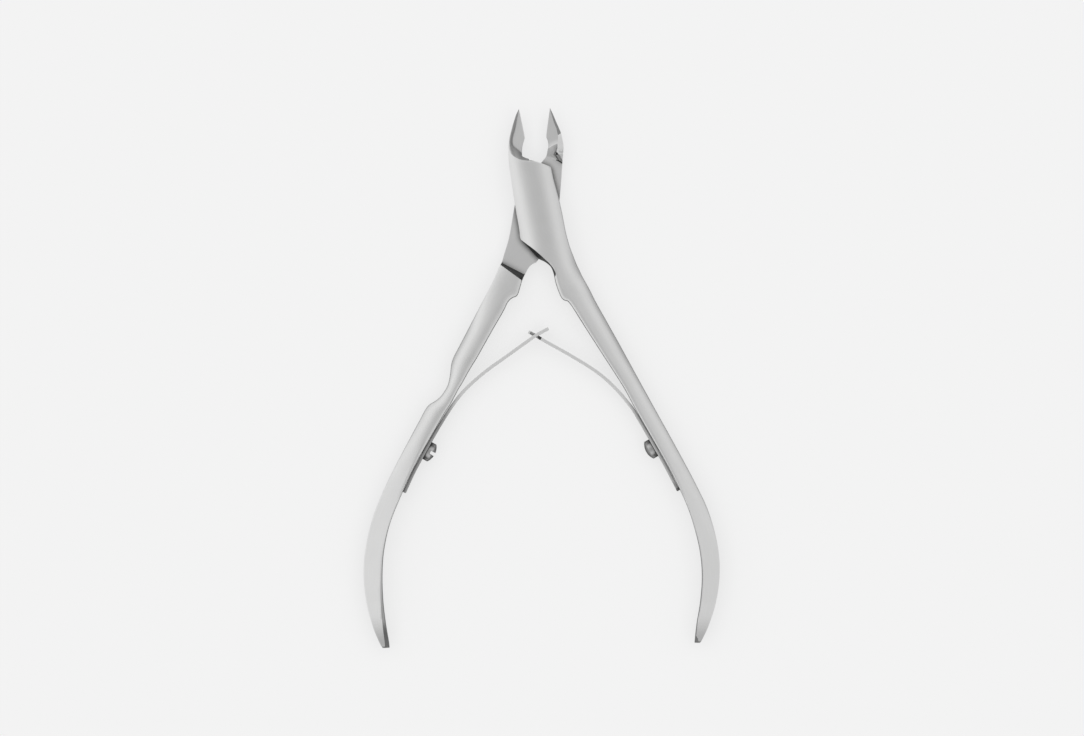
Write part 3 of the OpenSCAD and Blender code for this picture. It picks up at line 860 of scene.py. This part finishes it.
# ---- Build ----
def screw_axis(side):
    """A point on the screw's axis, in mm, and the way it points."""
    low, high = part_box(f"{side}_spring_screw")
    centre = np.array([(low.x + high.x) / 2, (low.y + high.y) / 2]) / MM
    return centre, np.array(SCREW_AXES[side])


def same(points):
    return np.array(points, float)


def moved_jaw(points, heel_from, heel_to, turn):
    """Points on one half's jaw moved to the same places on the other half's jaw."""
    c, s = math.cos(turn), math.sin(turn)
    return (np.array(points, float) - heel_from) @ np.array([[c, s], [-s, c]]) + heel_to


def front_to_rear(points):
    return moved_jaw(points, HEEL_FRONT, HEEL_REAR, -JAW_TURN)


def rear_to_front(points):
    return moved_jaw(points, HEEL_REAR, HEEL_FRONT, JAW_TURN)


def shade_strip(mesh, side):
    """Painted shade on a leaf spring where it lies along its handle, and painted shadow where it
    lies in the other one's window.
    """
    centres = np.array([face.center[:] for face in mesh.polygons]) / MM
    x, y, z = centres.T
    tone = TAIL_PAINTED_SHADE[side] * smooth(*TAIL_RANGE, y)
    if side == "right":
        tone = np.maximum(tone, TAIL_END_PAINTED_SHADE * smooth(*TAIL_END_RANGE, y))
        # painted shadow on the right spring's neck inside the left one's window
        in_window = (np.abs(z - MID) < NECK_HALF) & (x > NECK_FROM[0]) & (y > NECK_FROM[1])
        tone = np.where(in_window, NECK_PAINTED_SHADOW, tone)
    set_shade(mesh, tone)


front = built_half("front_forging", "front_half", "front_assembly",
                   screw_axis("right"), 1, FRONT_BEVEL, CROTCH, same, rear_to_front)
rear = built_half("rear_forging", "rear_half", "rear_assembly",
                  screw_axis("left"), -1, REAR_BEVEL, None, front_to_rear, same)
for piece in (front, rear):
    piece.data.materials.append(FORGED)

for side, body in (("left", "rear_assembly"), ("right", "front_assembly")):
    strip = bevelled_copy(f"{side}_leaf", f"{side}_leaf_spring", LEAF_ROUND, segments=3)
    shade_strip(strip, side)
    leaf = finished(f"{side}_leaf", strip, f"{side}_leaf_spring", None)
    leaf.data.materials.append(SPRING)
    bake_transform(leaf)
    head = bevelled_copy(f"{side}_screw", f"{side}_spring_screw", SCREW_ROUND)
    screw = finished(f"{side}_screw", head, f"{side}_spring_screw", body)
    screw.data.materials.append(SCREW)

for slot in frame["nodes"]["pivot_rivet"].material_slots:
    slot.material = RIVET


# ---- Stage ----
def add_floor():
    bpy.ops.mesh.primitive_plane_add(size=FLOOR_SIZE, location=(0, 0, 0))
    floor = bpy.context.object
    floor.name = "floor"
    material = bpy.data.materials.new("floor_pale")
    material.use_nodes = True
    shader = material.node_tree.nodes["Principled BSDF"]
    shader.inputs["Base Color"].default_value = (FLOOR_TONE, FLOOR_TONE, FLOOR_TONE, 1)
    shader.inputs["Roughness"].default_value = 0.9
    shader.inputs["Specular IOR Level"].default_value = 0.0
    shader.inputs["Emission Color"].default_value = (1, 1, 1, 1)
    shader.inputs["Emission Strength"].default_value = FLOOR_GLOW
    floor.data.materials.append(material)
    floor.visible_glossy = False


def add_lamp():
    light = bpy.data.lights.new("overhead", "AREA")
    light.size = LAMP_SIZE
    light.energy = LAMP_POWER
    lamp = bpy.data.objects.new("overhead", light)
    lamp.location = (0, 0, LAMP_HEIGHT)
    lamp.visible_glossy = False
    bpy.context.scene.collection.objects.link(lamp)


def add_sky():
    """A sky that the steel reflects: bands of brightness by height, brighter on the left."""
    world = bpy.data.worlds.new("soft_studio")
    bpy.context.scene.world = world
    world.use_nodes = True
    nodes, links = world.node_tree.nodes, world.node_tree.links
    place = nodes.new("ShaderNodeTexCoord")
    split = nodes.new("ShaderNodeSeparateXYZ")
    links.new(place.outputs["Generated"], split.inputs["Vector"])
    height = nodes.new("ShaderNodeMapRange")
    height.inputs["From Min"].default_value = -1.0
    links.new(split.outputs["Z"], height.inputs["Value"])
    ramp = nodes.new("ShaderNodeValToRGB")
    while len(ramp.color_ramp.elements) < len(SKY):
        ramp.color_ramp.elements.new(0.5)
    for element, (at, level) in zip(ramp.color_ramp.elements, SKY):
        element.position = at
        element.color = (level, level, level, 1)
    links.new(height.outputs["Result"], ramp.inputs["Fac"])
    across = nodes.new("ShaderNodeMapRange")
    across.inputs["From Min"].default_value = -1.0
    across.inputs["From Max"].default_value = 1.0
    across.inputs["To Min"].default_value = SKY_SIDES[0]
    across.inputs["To Max"].default_value = SKY_SIDES[1]
    links.new(split.outputs["X"], across.inputs["Value"])
    scale = nodes.new("ShaderNodeVectorMath")
    scale.operation = "SCALE"
    links.new(ramp.outputs["Color"], scale.inputs[0])
    links.new(across.outputs["Result"], scale.inputs["Scale"])
    links.new(scale.outputs["Vector"], nodes["Background"].inputs["Color"])


def add_camera():
    camera = bpy.data.cameras.new("camera")
    camera.sensor_width = SENSOR
    camera.lens = SENSOR * VIEW_DISTANCE / VIEW_WIDTH
    eye = bpy.data.objects.new("camera", camera)
    eye.location = (*VIEW_CENTRE, MID * MM + VIEW_DISTANCE)
    bpy.context.scene.collection.objects.link(eye)
    bpy.context.scene.camera = eye
    bpy.context.scene.view_settings.view_transform = "Standard"


add_floor()
add_lamp()
add_sky()
add_camera()
